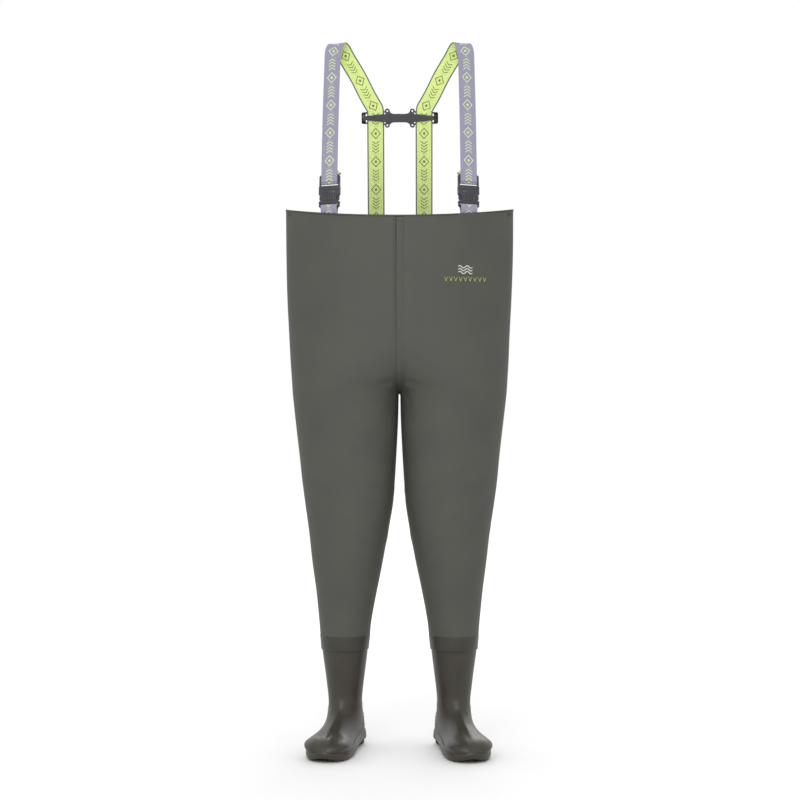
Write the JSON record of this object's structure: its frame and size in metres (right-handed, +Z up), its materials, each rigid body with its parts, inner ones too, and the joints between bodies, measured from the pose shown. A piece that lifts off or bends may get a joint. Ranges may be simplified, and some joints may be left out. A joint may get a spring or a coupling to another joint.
{
  "type": "chest waders",
  "caption": "Chest-high waterproof waders of coated fabric with welded rubber boots, carried by elastic braces with side-release buckles and an H-shaped back connector.",
  "frame": {"origin": "midway between the two undersides of the brace crests, where a pair of shoulders or a hanger carries the waders", "axes": "+Z up, the wearer faces -Y, +X to the wearer's left"},
  "size_m": [0.5358, 0.3244, 1.6397],
  "materials": {
    "coated_fabric": "matte PVC-coated polyester, dark grey-green",
    "seam_tape": "welded PVC tape and hem, slightly glossier than the fabric",
    "boot_pvc": "moulded PVC, semi-gloss, dark olive brown",
    "outsole_rubber": "matte cleated outsole, near black",
    "insole_foam": "grey knit-covered foam",
    "brace_webbing": "woven elastic, lavender grey outside and yellow green inside",
    "thread": "charcoal polyester thread",
    "buckle_acetal": "moulded acetal, charcoal, fine satin"
  },
  "bodies": {
    "torso": {"rise_seam_tape": "seam_tape", "crotch_gusset": "seam_tape", "rim_binding": "seam_tape", "torso_panel_left": "coated_fabric", "hip_sleeve_left": "coated_fabric", "front_patch_left": "seam_tape", "back_patch_left": "seam_tape", "anchor_strap_left": "brace_webbing", "front_strap_left": "brace_webbing", "shoulder_strap_left": "brace_webbing", "front_stitching_left": "thread", "back_stitching_left": "thread", "female_buckle_left": "buckle_acetal", "torso_panel_right": "coated_fabric", "hip_sleeve_right": "coated_fabric", "front_patch_right": "seam_tape", "back_patch_right": "seam_tape", "anchor_strap_right": "brace_webbing", "front_strap_right": "brace_webbing", "shoulder_strap_right": "brace_webbing", "front_stitching_right": "thread", "back_stitching_right": "thread", "female_buckle_right": "buckle_acetal"},
    "connector": {"cross_connector": "buckle_acetal"},
    "buckle_plug_left": {"male_buckle_left": "buckle_acetal", "strap_tail_left": "brace_webbing"},
    "arm_outer_left": {"release_arm_outer_left": "buckle_acetal"},
    "arm_inner_left": {"release_arm_inner_left": "buckle_acetal"},
    "thigh_left": {"thigh_panel_left": "coated_fabric", "knee_sleeve_left": "coated_fabric"},
    "lower_leg_left": {"shin_panel_left": "coated_fabric", "weld_band_left": "seam_tape", "boot_upper_left": "boot_pvc", "outsole_left": "outsole_rubber", "insole_left": "insole_foam"},
    "buckle_plug_right": {"male_buckle_right": "buckle_acetal", "strap_tail_right": "brace_webbing"},
    "arm_outer_right": {"release_arm_outer_right": "buckle_acetal"},
    "arm_inner_right": {"release_arm_inner_right": "buckle_acetal"},
    "thigh_right": {"thigh_panel_right": "coated_fabric", "knee_sleeve_right": "coated_fabric"},
    "lower_leg_right": {"shin_panel_right": "coated_fabric", "weld_band_right": "seam_tape", "boot_upper_right": "boot_pvc", "outsole_right": "outsole_rubber", "insole_right": "insole_foam"}
  },
  "joints": [
    {"name": "connector_slide", "type": "slide", "parent": "torso", "child": "connector", "axis": [0, -0.1958, 0.9806], "range_m": [-0.08, 0]},
    {"name": "buckle_release_left", "type": "slide", "parent": "torso", "child": "buckle_plug_left", "axis": [-0.0135, 0.1374, 0.9904], "range_m": [0, 0.06], "deforming": ["front_strap_left", "release_arm_outer_left", "release_arm_inner_left"]},
    {"name": "arm_squeeze_outer_left", "type": "hinge", "parent": "buckle_plug_left", "child": "arm_outer_left", "pos_m": [0.17397, -0.06151, -0.34727], "axis": [-0.3151, 0.9395, -0.1347], "range_deg": [0, 14], "stiffness_Nm_per_rad": 0.4},
    {"name": "arm_squeeze_inner_left", "type": "hinge", "parent": "buckle_plug_left", "child": "arm_inner_left", "pos_m": [0.14436, -0.07131, -0.34632], "axis": [0.3151, -0.9395, 0.1347], "range_deg": [0, 14], "stiffness_Nm_per_rad": 0.4},
    {"name": "hip_bend_left", "type": "hinge", "parent": "torso", "child": "thigh_left", "pos_m": [0.122, 0, -0.8972], "axis": [-1, 0, 0], "range_deg": [-20, 70], "deforming": ["hip_sleeve_left"]},
    {"name": "knee_bend_left", "type": "hinge", "parent": "thigh_left", "child": "lower_leg_left", "pos_m": [0.118, 0, -1.1472], "axis": [1, 0, 0], "range_deg": [0, 75], "deforming": ["knee_sleeve_left"]},
    {"name": "buckle_release_right", "type": "slide", "parent": "torso", "child": "buckle_plug_right", "axis": [0.0135, 0.1374, 0.9904], "range_m": [0, 0.06], "deforming": ["front_strap_right", "release_arm_outer_right", "release_arm_inner_right"]},
    {"name": "arm_squeeze_outer_right", "type": "hinge", "parent": "buckle_plug_right", "child": "arm_outer_right", "pos_m": [-0.17397, -0.06151, -0.34727], "axis": [-0.3151, -0.9395, 0.1347], "range_deg": [0, 14], "stiffness_Nm_per_rad": 0.4},
    {"name": "arm_squeeze_inner_right", "type": "hinge", "parent": "buckle_plug_right", "child": "arm_inner_right", "pos_m": [-0.14436, -0.07131, -0.34632], "axis": [0.3151, 0.9395, -0.1347], "range_deg": [0, 14], "stiffness_Nm_per_rad": 0.4},
    {"name": "hip_bend_right", "type": "hinge", "parent": "torso", "child": "thigh_right", "pos_m": [-0.122, 0, -0.8972], "axis": [-1, 0, 0], "range_deg": [-20, 70], "deforming": ["hip_sleeve_right"]},
    {"name": "knee_bend_right", "type": "hinge", "parent": "thigh_right", "child": "lower_leg_right", "pos_m": [-0.118, 0, -1.1472], "axis": [1, 0, 0], "range_deg": [0, 75], "deforming": ["knee_sleeve_right"]}
  ],
  "couplings": [
    {"joint": "arm_squeeze_inner_left", "follows": "arm_squeeze_outer_left", "ratio": 1},
    {"joint": "arm_squeeze_inner_right", "follows": "arm_squeeze_outer_right", "ratio": 1}
  ]
}
